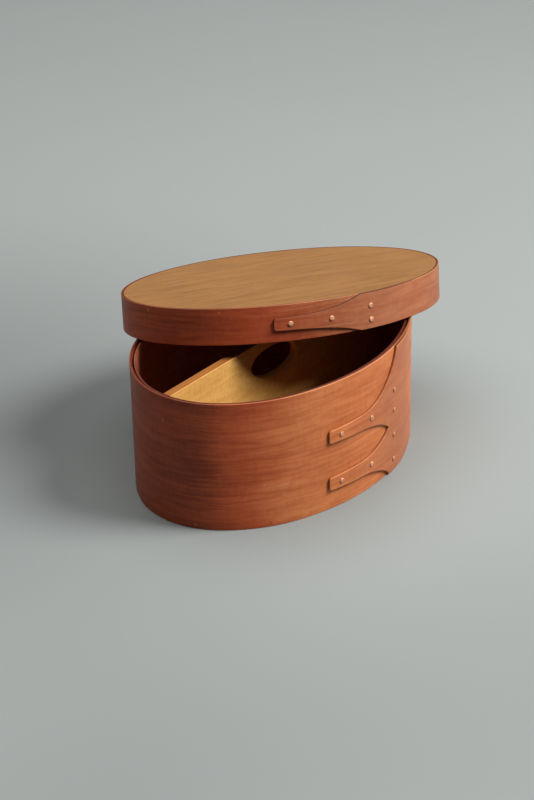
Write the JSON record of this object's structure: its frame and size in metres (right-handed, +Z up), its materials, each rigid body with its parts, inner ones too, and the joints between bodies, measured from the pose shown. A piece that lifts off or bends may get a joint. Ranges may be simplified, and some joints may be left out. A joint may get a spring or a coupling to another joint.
{
  "type": "oval bentwood box",
  "caption": "Oval bentwood box with swallowtail finger laps, copper tacks, a lift-out divided tray and a loose lid lying ajar.",
  "frame": {"origin": "middle of the underside of the box, where it stands", "axes": "+X along the box's long axis, away from the finger tips; +Y from the fingered side to the plain side; +Z up"},
  "size_m": [0.2536, 0.1856, 0.1153],
  "materials": {
    "cherry_band": "oiled cherry, aged red-brown, satin",
    "cherry_lid_band": "oiled cherry, aged red-brown, satin",
    "bottom_board": "oiled, matt",
    "lid_board": "oiled, straight fine grain, satin",
    "tray_band": "oiled cherry, satin",
    "tray_floor": "oiled, matt",
    "maple_divider": "pale maple, oiled, matt",
    "peg_wood": "end grain, matt",
    "copper_tacks": "copper, dulled, hammered heads"
  },
  "bodies": {
    "box": {"box_band": "cherry_band", "box_bottom_board": "bottom_board", "box_bottom_pegs": "peg_wood", "box_finger_tip_tacks": "copper_tacks", "box_finger_middle_tacks": "copper_tacks", "box_seam_tacks": "copper_tacks"},
    "tray": {"tray_band": "tray_band", "tray_floor_board": "tray_floor", "tray_floor_pegs": "peg_wood", "tray_divider": "maple_divider", "tray_divider_pins": "peg_wood", "tray_seam_tacks": "copper_tacks"},
    "lid": {"lid_band": "cherry_lid_band", "lid_top_board": "lid_board", "lid_top_pegs": "peg_wood", "lid_finger_tacks": "copper_tacks", "lid_seam_tacks": "copper_tacks"}
  },
  "joints": [
    {"name": "tray_lift", "type": "slide", "parent": "box", "child": "tray", "axis": [0, 0, 1], "range_m": [0, 0.09]},
    {"name": "lid_lift", "type": "slide", "parent": "tray", "child": "lid", "axis": [0, 0, 1], "range_m": [0, 0.12]}
  ]
}
